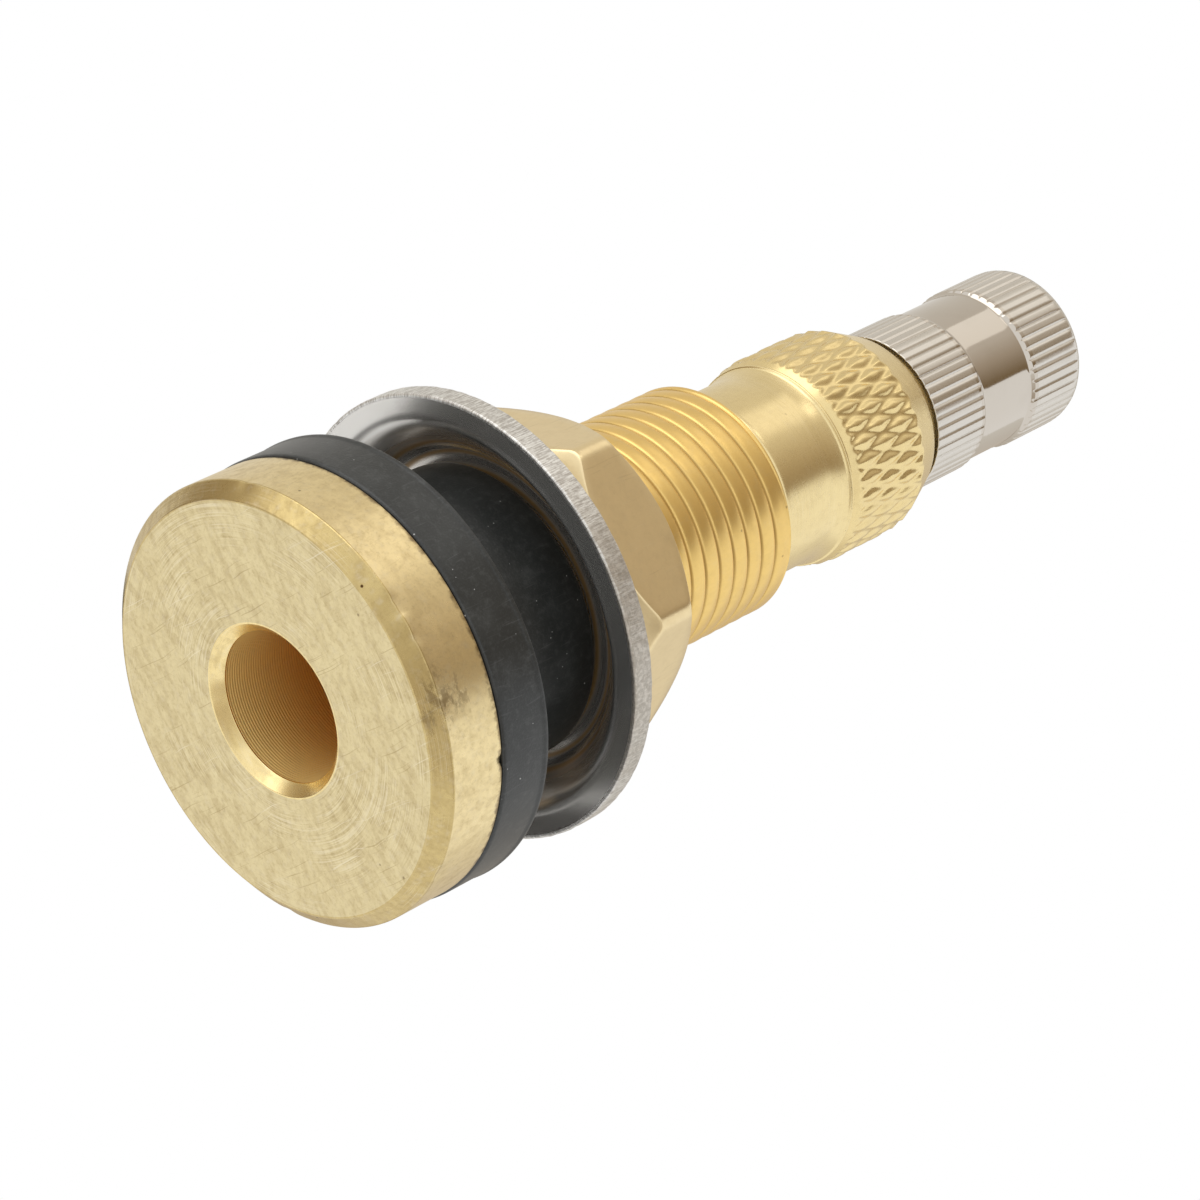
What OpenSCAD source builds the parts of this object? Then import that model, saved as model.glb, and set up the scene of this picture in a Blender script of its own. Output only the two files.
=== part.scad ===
// Clamp-in tyre valve with a large bore: a brass stem with a round flange, a rubber
// grommet, a dished washer and a hexagon nut that clamp it in a wheel rim, a removable
// housing with the valve core, and a fluted screw cap.
// Millimetres, +Z up. The origin is the centre of the flange face that the valve stands on.

/* [Flange] */
// Diameter of the brass flange
flange_d = 23.5; // [20:0.1:28]
// Thickness of the flange
flange_t = 4.0; // [3:0.1:6]
// Width of the chamfer round the flange face, along the radius
flange_chamfer_w = 0.8; // [0.3:0.05:1.2]
// Height of the same chamfer, along the axis
flange_chamfer_h = 0.7; // [0.3:0.05:1.2]

/* [Stem] */
// Large bore from the flange face up
bore_d = 8.0; // [6.5:0.1:8.8]
// Chamfer at the mouth of the large bore
bore_chamfer = 0.55; // [0.2:0.05:0.9]
// Outer diameter of the shank thread
shank_d = 13.0; // [12.4:0.1:14]
// Length of the shank behind the flange
shank_len = 27.7; // [25:0.1:36]
// Chamfer at the end of the shank thread
shank_chamfer = 0.5; // [0.2:0.05:0.8]
// Length of the neck above the shank
neck_len = 7.5; // [6.5:0.1:9]
// Wall of the neck
neck_wall = 1.5; // [1.2:0.05:2]
// Chamfer at the top of the neck
neck_chamfer = 0.35; // [0.1:0.05:0.5]

/* [Rubber grommet] */
// How far the grommet's flange stands out past the brass flange
grommet_proud = 0.2; // [0:0.05:0.4]
// Thickness of the grommet's flange
grommet_t = 3.1; // [2:0.1:5]
// Rounding of the flange's edges
grommet_edge = 0.25; // [0.1:0.05:0.6]
// Wall of the sleeve that fills the rim hole
sleeve_wall = 1.45; // [1:0.05:2]
// Length of the sleeve behind the grommet's flange
sleeve_len = 7.6; // [4:0.1:8]
// Fillet between the flange and the sleeve
sleeve_fillet = 0.8; // [0.3:0.05:1.2]
// Chamfer at the end of the sleeve
sleeve_chamfer = 0.4; // [0.1:0.05:0.6]

/* [Dished washer] */
// How far the washer stands out past the brass flange
washer_proud = 0.3; // [0:0.05:0.5]
// Sheet thickness of the washer
washer_t = 1.25; // [0.8:0.05:1.6]
// Height of the dish from its rim to its flat top
washer_rise = 2.15; // [1.4:0.05:2.6]
// Width of the flat rim
washer_rim_w = 1.1; // [0.5:0.1:2]
// Width of the flat ring under the nut
washer_flat_w = 1.45; // [1:0.05:2]
// Space for the wheel rim, between the grommet's flange and the washer
clamp_gap = 6.0; // [5.5:0.1:9]

/* [Hexagon nut] */
// Width across the flats
nut_af = 16.8; // [16:0.1:19]
// Height of the nut
nut_h = 4.9; // [4:0.1:7]
// Rounding of the six corners
nut_corner_r = 1.0; // [0.3:0.1:2]
// How far the bearing faces lie inside the flats
nut_face_inset = 0.35; // [0.1:0.05:0.6]
// Angle of the chamfers on both faces
nut_chamfer_angle = 42; // [25:1:50]

/* [Core housing] */
// Diameter of the smooth band
band_d = 10.8; // [10.6:0.05:11.6]
// Length of the smooth band, with its flare
band_len = 5.0; // [3.5:0.1:6]
// Wall between the band and the neck thread
housing_wall = 0.725; // [0.6:0.025:1]
// Rounding of the band's lower edge
band_edge = 0.6; // [0.1:0.05:0.65]
// Length of the flare at the top of the band
flare_len = 1.4; // [0.5:0.1:2]
// How far the flare widens the band
flare_proud = 0.25; // [0.1:0.05:0.4]
// How far the knurl stands out past the smooth band
knurl_proud = 0.6; // [0.4:0.05:0.8]
// Length of the knurl
knurl_len = 5.55; // [4:0.05:7]
// Length of the lead at the start of the knurl
knurl_lead = 0.9; // [0.3:0.1:1.5]
// Height of the bevel above the knurl
bevel_len = 2.45; // [1.5:0.05:3.5]
// Diameter at the top of the bevel
bevel_d = 9.8; // [8.8:0.1:10.6]
// Outer diameter of the mouth thread under the cap
mouth_d = 7.6; // [7.4:0.05:7.8]
// Length of the mouth above the bevel
mouth_len = 11.3; // [9:0.1:12]
// Chamfer at the top of the mouth
mouth_chamfer = 0.4; // [0.1:0.05:0.5]
// Bore that the barrel of the core hangs in
pass_d = 4.0; // [3.8:0.05:4.4]
// Wider bore below, where the air enters
relief_d = 5.6; // [4.8:0.1:6.4]
// Depth of the wider bore above the housing gasket
relief_len = 4.2; // [2:0.1:5]
// Gap between the shank's end and the housing's lower edge
housing_gap = 0.4; // [0.2:0.05:0.8]
// Thickness of the housing gasket
housing_gasket_t = 1.2; // [0.8:0.1:1.6]

/* [Valve core] */
// Diameter of the threaded plug
plug_d = 5.2; // [5:0.05:5.4]
// Length of the plug's threaded body
plug_len = 2.4; // [1.8:0.1:3]
// Height of the bridge on the plug
bridge_h = 1.5; // [1:0.1:2]
// Thickness of the bridge
bridge_t = 1.5; // [1.3:0.1:1.8]
// Depth of the bridge below the mouth
plug_recess = 0.55; // [0.3:0.05:1]
// Depth of the pin's tip below the mouth
pin_recess = 0.2; // [0.1:0.05:0.25]
// Diameter of the centre pin
pin_d = 0.9; // [0.7:0.05:1]
// Outer diameter of the barrel
barrel_d = 3.1; // [2.9:0.05:3.3]
// Bore of the barrel
barrel_bore_d = 2.3; // [2.2:0.05:2.45]
// Length of the barrel below the plug
barrel_len = 11.2; // [10:0.1:12]
// Thickness of the head that bears on the plug
head_t = 0.6; // [0.4:0.05:0.9]
// Thickness of the ledge at the barrel's foot
ledge_t = 0.7; // [0.5:0.05:1]
// Length of the tapered seal ring
seal_len = 1.4; // [1:0.1:1.8]
// Wire diameter of the spring
wire_d = 0.26; // [0.2:0.02:0.3]
// Mean diameter of the spring
spring_d = 1.64; // [1.56:0.02:1.7]
// Turns of the spring
spring_turns = 10; // [7:1:14]
// Diameter of the cup under the barrel
cup_d = 3.5; // [3.4:0.05:3.6]
// Wall of the cup
cup_wall = 0.2; // [0.15:0.05:0.25]
// Thickness of the rubber ring in the cup
seat_seal_t = 0.75; // [0.5:0.05:1]
// Length of the crimped tail under the cup
cup_tail = 1.0; // [0.6:0.1:1.6]

/* [Cap] */
// Wall of the cap at its plain waist
cap_wall = 0.55; // [0.5:0.05:1]
// Depth of the waist below the fluted bands
waist_depth = 0.2; // [0.15:0.05:0.4]
// Number of flutes round each band
flute_count = 48; // [36:2:60]
// Depth of the flutes
flute_depth = 0.14; // [0.08:0.02:0.2]
// Length of the lower fluted band
low_band_len = 4.3; // [3:0.1:5]
// Length of the upper fluted band
top_band_len = 4.7; // [3:0.1:5]
// Taper length between a band and the waist
waist_taper = 0.25; // [0.1:0.05:0.5]
// Rounding of the cap's top edge
cap_edge_r = 0.9; // [0.3:0.1:1]
// Thickness of the cap's closed end
cap_end_t = 1.25; // [1:0.05:2]
// Thickness of the rubber disc in the cap
cap_gasket_t = 1.0; // [0.6:0.1:1.6]
// Gap between the bevel and the cap's lower edge
cap_gap = 0.6; // [0.2:0.05:0.8]

/* [Fits] */
// Radial clearance in the threaded joints
thread_clearance = 0.15; // [0.1:0.01:0.2]
// Radial clearance between pieces that fit closely
fit_clearance = 0.05; // [0.03:0.01:0.08]
// Gap between flat faces that bear on each other
face_gap = 0.04; // [0.02:0.01:0.1]

/* [Hidden] */
$fn = 96;

brass = "#c9a24e";
nickel = "#b9b5ad";
black_rubber = "#26272a";
white_seal = "#d8d4c8";

// Diameters that follow from the pieces next to them
grommet_d = flange_d + 2 * grommet_proud;
washer_d = flange_d + 2 * washer_proud;
washer_hole_r = shank_d / 2 + thread_clearance;
washer_flat_r = washer_hole_r + washer_flat_w;
sleeve_d = shank_d + 2 * (fit_clearance + sleeve_wall);
knurl_d = band_d + 2 * knurl_proud;
neck_d = band_d - 2 * (housing_wall + thread_clearance);
neck_bore_d = neck_d - 2 * neck_wall;
cap_bore_r = mouth_d / 2 + thread_clearance;
waist_d = 2 * (cap_bore_r + cap_wall);
cap_d = waist_d + 2 * waist_depth;

// Heights of the clamped pieces
grommet_top = flange_t + grommet_t;
sleeve_top = grommet_top + sleeve_len;
rim_z = grommet_top + clamp_gap;
washer_top = rim_z + washer_rise + washer_t;
nut_z = washer_top + face_gap;

// Heights of the stem and of the core housing
shoulder_z = flange_t + shank_len;
neck_top = shoulder_z + neck_len;
chamber_top = neck_top + housing_gasket_t + 2 * face_gap;
housing_z = shoulder_z + housing_gap;
knurl_z = housing_z + band_len;
bevel_z = knurl_z + knurl_len;
bevel_top = bevel_z + bevel_len;
mouth_top = bevel_top + mouth_len;

// Heights in the valve core, from the mouth down
bridge_top = mouth_top - plug_recess;
plug_top = bridge_top - bridge_h;
plug_z = plug_top - plug_len;
head_top = plug_z - face_gap;
seal_top = head_top - head_t;
seal_z = seal_top - seal_len;
barrel_z = head_top - barrel_len;
ledge_top = barrel_z + ledge_t;
seat_top = barrel_z - face_gap;
seat_z = seat_top - seat_seal_t;
cup_z = seat_z - face_gap - cup_wall;
tail_z = cup_z - cup_tail;
pin_top = mouth_top - pin_recess;

// Radii and lengths inside the valve core
plug_bore_r = plug_d / 2 + fit_clearance;
spigot_r = barrel_d / 2;
spigot_len = plug_len / 2;
pin_r = pin_d / 2;
pin_hole_r = pin_r + thread_clearance;
collar_r = barrel_bore_d / 2 - thread_clearance;
collar_t = 0.6;
collar_top = seal_top;
bead_h = 0.35;
bead_r = pass_d / 2 - thread_clearance;
seal_top_r = plug_bore_r - fit_clearance;
seal_low_r = pass_d / 2 + thread_clearance;
pin_foot_h = 0.3;
foot_step = 0.25;
tail_step = 0.1;
pin_foot_r = pin_r + foot_step;
tail_r = pin_foot_r + tail_step;
cup_lip_drop = 0.25;

// Heights and radii of the cap
cap_z = bevel_top + cap_gap;
cap_roof = mouth_top + face_gap + cap_gasket_t + face_gap;
cap_top = cap_roof + cap_end_t;
waist_z = cap_z + low_band_len;
waist_top = cap_top - top_band_len;

// Shares of one flute's pitch where its crest ends, its root starts and its root ends
crest_end = 0.42;
root_start = 0.58;
root_end = 0.84;

// Points along an arc about [x, y], from angle a to angle b
function arc(x, y, r, a, b, steps = 6) =
    [for (i = [0:steps]) let (t = a + (b - a) * i / steps) [x + r * cos(t), y + r * sin(t)]];

// Height of the washer's underside above its rim at radius r: a smooth S from rim to flat top
function dish_height(r) =
    let (rim_r = washer_d / 2 - washer_rim_w)
    let (u = min(1, max(0, (r - washer_flat_r) / (rim_r - washer_flat_r))))
    washer_rise * (1 + cos(180 * u)) / 2;

// Hexagon with rounded corners, one corner on +X
function hex_outline(af, corner_r) =
    let (reach = (af / 2 - corner_r) / cos(30))
    [for (k = [0:5]) each arc(reach * cos(60 * k), reach * sin(60 * k), corner_r,
                              60 * k - 30, 60 * k + 30, 4)];

// Ring of flutes: a flat land on each crest and on each root
function flute_outline(r, depth, count) =
    let (pitch = 360 / count)
    [for (k = [0:count - 1], p = [[0, r], [crest_end, r],
                                        [root_start, r - depth], [root_end, r - depth]])
        let (t = (k + p[0]) * pitch) p[1] * [cos(t), sin(t)]];

// One ring of wire on the spring, at angle t and height z
function wire_ring(t, z, sides) =
    [for (i = [0:sides - 1]) let (b = 360 * i / sides, r = spring_d / 2 + wire_d / 2 * cos(b))
        [r * cos(t), r * sin(t), z + wire_d / 2 * sin(b)]];

module ring(d_out, d_in, z, h) {
    translate([0, 0, z]) difference() {
        cylinder(d = d_out, h = h);
        translate([0, 0, -1]) cylinder(d = d_in, h = h + 2);
    }
}

module stem() {
    bore_r = bore_d / 2;
    neck_bore_r = neck_bore_d / 2;
    color(brass) rotate_extrude() polygon([
        [bore_r + bore_chamfer, 0],
        [flange_d / 2 - flange_chamfer_w, 0],
        [flange_d / 2, flange_chamfer_h],
        [flange_d / 2, flange_t],
        [shank_d / 2, flange_t],
        [shank_d / 2, shoulder_z - shank_chamfer],
        [shank_d / 2 - shank_chamfer, shoulder_z],
        [neck_d / 2, shoulder_z],
        [neck_d / 2, neck_top - neck_chamfer],
        [neck_d / 2 - neck_chamfer, neck_top],
        [neck_bore_r, neck_top],
        [neck_bore_r, shoulder_z],
        [bore_r, shoulder_z - abs(bore_r - neck_bore_r)],
        [bore_r, bore_chamfer]]);
}

module rubber_grommet() {
    inner_r = shank_d / 2 + fit_clearance;
    outer_r = grommet_d / 2;
    sleeve_r = sleeve_d / 2;
    foot = flange_t + face_gap;
    color(black_rubber) rotate_extrude() polygon(concat(
        [[inner_r, foot]],
        arc(outer_r - grommet_edge, foot + grommet_edge, grommet_edge, -90, 0),
        arc(outer_r - grommet_edge, grommet_top - grommet_edge, grommet_edge, 0, 90),
        arc(sleeve_r + sleeve_fillet, grommet_top + sleeve_fillet, sleeve_fillet, 270, 180),
        [[sleeve_r, sleeve_top - sleeve_chamfer],
         [sleeve_r - sleeve_chamfer, sleeve_top],
         [inner_r, sleeve_top]]));
}

module dished_washer() {
    outer_r = washer_d / 2;
    steps = 24;
    radii = [for (i = [0:steps]) washer_hole_r + (outer_r - washer_hole_r) * i / steps];
    under = [for (r = radii) [r, rim_z + dish_height(r)]];
    over = [for (i = [steps:-1:0]) [radii[i], rim_z + washer_t + dish_height(radii[i])]];
    color(nickel) rotate_extrude() polygon(concat(under, over));
}

module hex_nut() {
    face_r = nut_af / 2 - nut_face_inset;
    slope = tan(nut_chamfer_angle);
    reach = nut_h / 2 / slope;
    color(brass) translate([0, 0, nut_z]) difference() {
        intersection() {
            linear_extrude(nut_h) polygon(hex_outline(nut_af, nut_corner_r));
            rotate_extrude() polygon([[0, 0], [face_r, 0], [face_r + reach, nut_h / 2],
                                      [face_r, nut_h], [0, nut_h]]);
        }
        translate([0, 0, -1]) cylinder(r = shank_d / 2 + thread_clearance, h = nut_h + 2);
    }
}

module housing_gasket() {
    color(black_rubber) ring(neck_d, neck_bore_d, neck_top + face_gap, housing_gasket_t);
}

module core_housing() {
    chamber_r = neck_d / 2 + thread_clearance;
    flare_r = flare_len * flare_len / flare_proud / 2;
    flare_angle = asin(flare_len / flare_r);
    pass_r = pass_d / 2;
    relief_r = relief_d / 2;
    relief_top = chamber_top + relief_len;
    color(brass) rotate_extrude() polygon(concat(
        [[chamber_r, housing_z]],
        arc(band_d / 2 - band_edge, housing_z + band_edge, band_edge, -90, 0),
        arc(band_d / 2 + flare_r, knurl_z - flare_len, flare_r, 180, 180 - flare_angle),
        [[knurl_d / 2, knurl_z + knurl_lead],
         [knurl_d / 2, bevel_z],
         [bevel_d / 2, bevel_top],
         [mouth_d / 2, bevel_top],
         [mouth_d / 2, mouth_top - mouth_chamfer],
         [mouth_d / 2 - mouth_chamfer, mouth_top],
         [plug_bore_r, mouth_top],
         [plug_bore_r, seal_top],
         [seal_low_r + fit_clearance, seal_z],
         [pass_r, seal_z],
         [pass_r, relief_top + relief_r - pass_r],
         [relief_r, relief_top],
         [relief_r, chamber_top],
         [chamber_r, chamber_top]]));
}

module core_plug() {
    spigot_hole_r = spigot_r + fit_clearance;
    color(brass) difference() {
        union() {
            translate([0, 0, plug_z]) cylinder(d = plug_d, h = plug_len);
            intersection() {
                translate([0, 0, plug_top]) cylinder(r = spigot_hole_r + thread_clearance, h = bridge_h);
                translate([-plug_d / 2, -bridge_t / 2, plug_top - bridge_h])
                    cube([plug_d, bridge_t, 2 * bridge_h]);
            }
        }
        difference() {
            translate([0, 0, plug_z - 1]) cylinder(r = spigot_hole_r, h = plug_len + 1 + bridge_h / 2);
            translate([-plug_d / 2, -bridge_t / 2, plug_top - plug_len / 4])
                cube([plug_d, bridge_t, 2 * bridge_h]);
        }
        translate([0, 0, plug_z - 1]) cylinder(r = pin_hole_r, h = plug_len + bridge_h + 2);
    }
}

module core_barrel() {
    bore_r = barrel_bore_d / 2;
    outer_r = barrel_d / 2;
    spigot_top = plug_z + spigot_len;
    bead_top = seal_z - face_gap;
    color(brass) rotate_extrude() polygon([
        [pin_hole_r, barrel_z],
        [outer_r, barrel_z],
        [outer_r, bead_top - bead_h],
        [bead_r, bead_top - bead_h],
        [bead_r, bead_top],
        [outer_r, bead_top],
        [outer_r, seal_top],
        [plug_d / 2 - fit_clearance, seal_top],
        [plug_d / 2 - fit_clearance, head_top],
        [spigot_r, head_top],
        [spigot_r, spigot_top],
        [bore_r, spigot_top],
        [bore_r, ledge_top],
        [pin_hole_r, ledge_top]]);
}

module barrel_seal() {
    inner_r = barrel_d / 2 + fit_clearance / 2;
    color(white_seal) rotate_extrude() polygon([
        [inner_r, seal_z],
        [seal_low_r, seal_z],
        [seal_top_r, seal_top - face_gap],
        [inner_r, seal_top - face_gap]]);
}

module core_pin() {
    foot_z = tail_z - face_gap - pin_foot_h;
    color(brass) rotate_extrude() polygon([
        [0, foot_z],
        [pin_foot_r, foot_z],
        [pin_foot_r, foot_z + pin_foot_h],
        [pin_r, foot_z + pin_foot_h],
        [pin_r, collar_top - collar_t],
        [collar_r, collar_top - collar_t],
        [collar_r, collar_top],
        [pin_r, collar_top],
        [pin_r, pin_top],
        [0, pin_top]]);
}

module core_spring() {
    sides = 8;
    rings_per_turn = 14;
    rings = spring_turns * rings_per_turn;
    low = ledge_top + wire_d / 2 + face_gap;
    high = collar_top - collar_t - wire_d / 2 - face_gap;
    points = [for (k = [0:rings])
        each wire_ring(360 * k / rings_per_turn, low + (high - low) * k / rings, sides)];
    walls = [for (k = [0:rings - 1], i = [0:sides - 1]) let (j = (i + 1) % sides)
        [k * sides + i, (k + 1) * sides + i, (k + 1) * sides + j, k * sides + j]];
    first_end = [for (i = [0:sides - 1]) i];
    last_end = [for (i = [sides - 1:-1:0]) rings * sides + i];
    color("silver") polyhedron(points, concat([first_end], walls, [last_end]));
}

module seat_cup() {
    color(brass) difference() {
        union() {
            translate([0, 0, cup_z]) cylinder(d = cup_d, h = seat_top - cup_lip_drop - cup_z);
            translate([0, 0, tail_z]) cylinder(r = tail_r, h = cup_tail);
        }
        translate([0, 0, cup_z + cup_wall]) cylinder(d = cup_d - 2 * cup_wall, h = seat_seal_t + 1);
        translate([0, 0, tail_z - 1]) cylinder(r = pin_r + fit_clearance / 2, h = cup_tail + cup_wall + 2);
    }
}

module seat_seal() {
    color(black_rubber)
        ring(cup_d - 2 * cup_wall - 2 * fit_clearance, pin_d + 2 * fit_clearance, seat_z, seat_seal_t);
}

module cap() {
    crest_r = cap_d / 2;
    color(nickel) difference() {
        intersection() {
            union() {
                translate([0, 0, cap_z]) linear_extrude(low_band_len)
                    polygon(flute_outline(crest_r, flute_depth, flute_count));
                translate([0, 0, cap_z]) cylinder(d = waist_d, h = cap_top - cap_z);
                translate([0, 0, waist_top]) linear_extrude(top_band_len)
                    polygon(flute_outline(crest_r, flute_depth, flute_count));
            }
            rotate_extrude() polygon(concat(
                [[0, cap_z], [crest_r, cap_z],
                 [crest_r, waist_z - waist_taper], [waist_d / 2, waist_z],
                 [waist_d / 2, waist_top], [crest_r, waist_top + waist_taper]],
                arc(crest_r - cap_edge_r, cap_top - cap_edge_r, cap_edge_r, 0, 90),
                [[0, cap_top]]));
        }
        translate([0, 0, cap_z - 1]) cylinder(r = cap_bore_r, h = cap_roof - cap_z + 1);
    }
}

module cap_gasket() {
    color(black_rubber) translate([0, 0, mouth_top + face_gap])
        cylinder(r = cap_bore_r - fit_clearance, h = cap_gasket_t);
}

stem();
rubber_grommet();
dished_washer();
hex_nut();
housing_gasket();
core_housing();
core_plug();
core_barrel();
barrel_seal();
core_pin();
core_spring();
seat_cup();
seat_seal();
cap();
cap_gasket();
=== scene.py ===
# %% [markdown]
# # Tyre valve with a large bore
# The CAD model already holds every piece of this valve at its real size: a brass stem with a round
# flange, a rubber grommet, a dished washer, a hexagon nut, a knurled housing and a fluted cap.
# This lesson loads that model as a fixed frame and gives each piece the surface that a close
# photograph shows. Nothing here moves or resizes a CAD part.

# %% Load the frame
import math

import bmesh
import bpy
import numpy as np
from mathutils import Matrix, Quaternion, Vector


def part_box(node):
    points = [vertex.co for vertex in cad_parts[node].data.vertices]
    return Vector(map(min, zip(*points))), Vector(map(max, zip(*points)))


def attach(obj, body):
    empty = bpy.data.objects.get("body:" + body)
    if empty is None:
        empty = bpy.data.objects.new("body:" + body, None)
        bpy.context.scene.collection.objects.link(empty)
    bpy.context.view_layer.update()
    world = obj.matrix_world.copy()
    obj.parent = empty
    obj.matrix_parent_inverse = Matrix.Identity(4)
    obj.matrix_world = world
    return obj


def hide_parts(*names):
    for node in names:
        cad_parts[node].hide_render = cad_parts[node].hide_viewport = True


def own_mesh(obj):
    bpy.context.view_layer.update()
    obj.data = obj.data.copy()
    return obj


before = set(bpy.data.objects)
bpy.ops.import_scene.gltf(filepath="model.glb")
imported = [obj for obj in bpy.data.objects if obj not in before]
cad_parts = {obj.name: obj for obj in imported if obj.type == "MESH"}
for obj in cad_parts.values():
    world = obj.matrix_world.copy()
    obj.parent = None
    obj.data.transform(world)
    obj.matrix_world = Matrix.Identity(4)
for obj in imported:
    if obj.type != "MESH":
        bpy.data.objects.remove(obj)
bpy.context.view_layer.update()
scene = bpy.context.scene
scene.view_settings.view_transform = "Standard"

MM = 0.001
TURN = 2 * math.pi


def reach(node):
    """Outer radius, lowest height and highest height of a CAD node, in millimetres."""
    low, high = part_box(node)
    return high.x / MM, low.z / MM, high.z / MM


# %% [markdown]
# ## The camera
# The photograph looks at the flange end from close by, with the valve lying across the picture.
# Here the valve stands on its flange, so the camera goes below it, looks up at the flange face and
# is rolled until the stem points to the upper right. A long lens keeps the far cap nearly as wide
# as it really is. Writing the view as elevation, roll, distance and aim point keeps it readable.

# %% Camera
CAMERA_ELEVATION = math.radians(-40.38)
CAMERA_ROLL = math.radians(63.42)
CAMERA_DISTANCE = 234.0 * MM
CAMERA_AIM = Vector((2.294, 0.0, 21.97)) * MM
LENS_MM = 135.0
SENSOR_MM = 36.0

toward_camera = Vector((0, -math.cos(CAMERA_ELEVATION), math.sin(CAMERA_ELEVATION)))
camera = bpy.data.objects.new("camera", bpy.data.cameras.new("camera"))
scene.collection.objects.link(camera)
camera.location = CAMERA_AIM + toward_camera * CAMERA_DISTANCE
camera.rotation_mode = "QUATERNION"
level_view = (-toward_camera).to_track_quat("-Z", "Y")
camera.rotation_quaternion = level_view @ Quaternion((0, 0, 1), CAMERA_ROLL)
camera.data.lens = LENS_MM
camera.data.sensor_width = SENSOR_MM
camera.data.clip_start = 10 * MM
camera.data.clip_end = 100
scene.camera = camera
print("camera at", [round(v / MM, 1) for v in camera.location], "mm")

# %% [markdown]
# ## The stage
# Polished metal has almost no colour of its own: it shows what stands around it. So the room is
# built first. The world is white for the camera and for reflections. Large cards that only
# reflections can see stand in for the darker room beside a white table, which is what draws the
# dark streak along brass and nickel. A small black card stands close behind the valve, where it is
# mostly the hollow of the washer that sees it: it is painted shade in that hollow. A black flag
# beside the grommet is a painted shadow: the shaded table in the lower part of the washer. The
# floor shows only from above, so a camera below it still sees the flange, and it takes the shadow
# of the valve.

# %% Material helper for the stage and the pieces


class Finish:
    """A material in the making. add() makes one node, plugs its inputs and returns an output."""

    def __init__(self, name):
        self.material = bpy.data.materials.new(name)
        self.material.use_nodes = True
        self.tree = self.material.node_tree
        self.shader = self.tree.nodes["Principled BSDF"]
        self.output = self.tree.nodes["Material Output"]

    def add(self, kind, inputs, out=0, **settings):
        node = self.tree.nodes.new("ShaderNode" + kind)
        for key, value in settings.items():
            setattr(node, key, value)
        for key, value in inputs.items():
            self.plug(value, node.inputs[key])
        return node.outputs[out]

    def plug(self, value, socket):
        if isinstance(value, bpy.types.NodeSocket):
            self.tree.links.new(value, socket)
        else:
            socket.default_value = value

    def set(self, **inputs):
        for key, value in inputs.items():
            self.plug(value, self.shader.inputs[key.replace("_", " ")])

    def math(self, operation, a, b=0.0, c=0.0):
        return self.add("Math", {0: a, 1: b, 2: c}, operation=operation)

    def times(self, a, b, plus=0.0):
        return self.math("MULTIPLY_ADD", a, b, plus)

    def inverse(self, value):
        return self.math("SUBTRACT", 1.0, value)

    def blend(self, share, a, b):
        return self.add("Mix", {0: share, 6: a, 7: b}, out=2, data_type="RGBA")

    def noise(self, where, scale, detail, roughness=0.5):
        inputs = {"Vector": where, "Scale": scale, "Detail": detail, "Roughness": roughness}
        return self.add("TexNoise", inputs)

    def bump(self, height, strength, depth_mm):
        inputs = {"Strength": strength, "Distance": depth_mm * MM, "Height": height}
        return self.add("Bump", inputs)

    def ramp(self, value, low, high):
        """0 where the value is under low, 1 where it is over high, and a smooth step between."""
        return self.add("MapRange", {0: value, 1: low, 2: high}, interpolation_type="SMOOTHSTEP")


print("material helper ready")

# %% World, floor and cards
FLOOR_DROP = 0.05 * MM
FLOOR_HALF_WIDTH = 3.0
FLOOR_COLOUR = (0.93, 0.925, 0.91, 1)
FLOOR_GLOW = 0.3
FADE_START = 0.06
FADE_END = 0.5
AMBIENT = 0.62
CARD_DISTANCE = 1.2
NEAR_DISTANCE = 0.036
CARD_COLUMNS = 24
CARD_ROWS = 8
FLAG_ANGLES = (-45, 75)
FLAG_RADII = (12.4, 20.0)
FLAG_Z = 7.0
# The flag's black is a painted shadow: the shaded table as the washer mirrors it
FLAG_SHADOW_COLOUR = (0.02, 0.017, 0.014, 1)
# Painted shade: the black of the card in the washer's hollow
HOLLOW_SHADE_BLACK = (0.04, 0.034, 0.028, 1)
ROOM_DARK = (0.215, 0.145, 0.07, 1)
ROOM_BROWN = (0.50, 0.42, 0.33, 1)
ROOM_MIDDLE = (0.68, 0.62, 0.54, 1)
ROOM_LIGHT = (0.80, 0.78, 0.735, 1)

world = bpy.data.worlds.new("white_studio")
scene.world = world
world.use_nodes = True
sky = world.node_tree
background = sky.nodes["Background"]
background.inputs["Color"].default_value = (1, 1, 1, 1)
rays = sky.nodes.new("ShaderNodeLightPath")
seen = rays.outputs["Is Camera Ray"]
for ray in ("Is Glossy Ray", "Is Transmission Ray"):
    either = sky.nodes.new("ShaderNodeMath")
    either.operation = "MAXIMUM"
    sky.links.new(seen, either.inputs[0])
    sky.links.new(rays.outputs[ray], either.inputs[1])
    seen = either.outputs[0]
level = sky.nodes.new("ShaderNodeMapRange")
level.inputs["To Min"].default_value = AMBIENT
level.inputs["To Max"].default_value = 1.0
sky.links.new(seen, level.inputs["Value"])
sky.links.new(level.outputs["Result"], background.inputs["Strength"])


def toward(azimuth, elevation):
    """Unit vector for two angles in degrees. Azimuth goes from -Y toward +X."""
    h = math.radians(azimuth)
    v = math.radians(elevation)
    return Vector((math.sin(h) * math.cos(v), -math.cos(h) * math.cos(v), math.sin(v)))


def plain_mesh(name, points, faces):
    mesh = bpy.data.meshes.new(name)
    mesh.from_pydata(points, [], faces)
    obj = bpy.data.objects.new(name, mesh)
    scene.collection.objects.link(obj)
    return obj


def one_sided(paint, front):
    """Lets a sheet be seen from above only: from below it is clear."""
    clear = paint.add("BsdfTransparent", {})
    under = paint.add("NewGeometry", {}, out="Backfacing")
    seen_from_above = paint.add("MixShader", {0: under, 1: front, 2: clear})
    paint.plug(seen_from_above, paint.output.inputs["Surface"])


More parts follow.
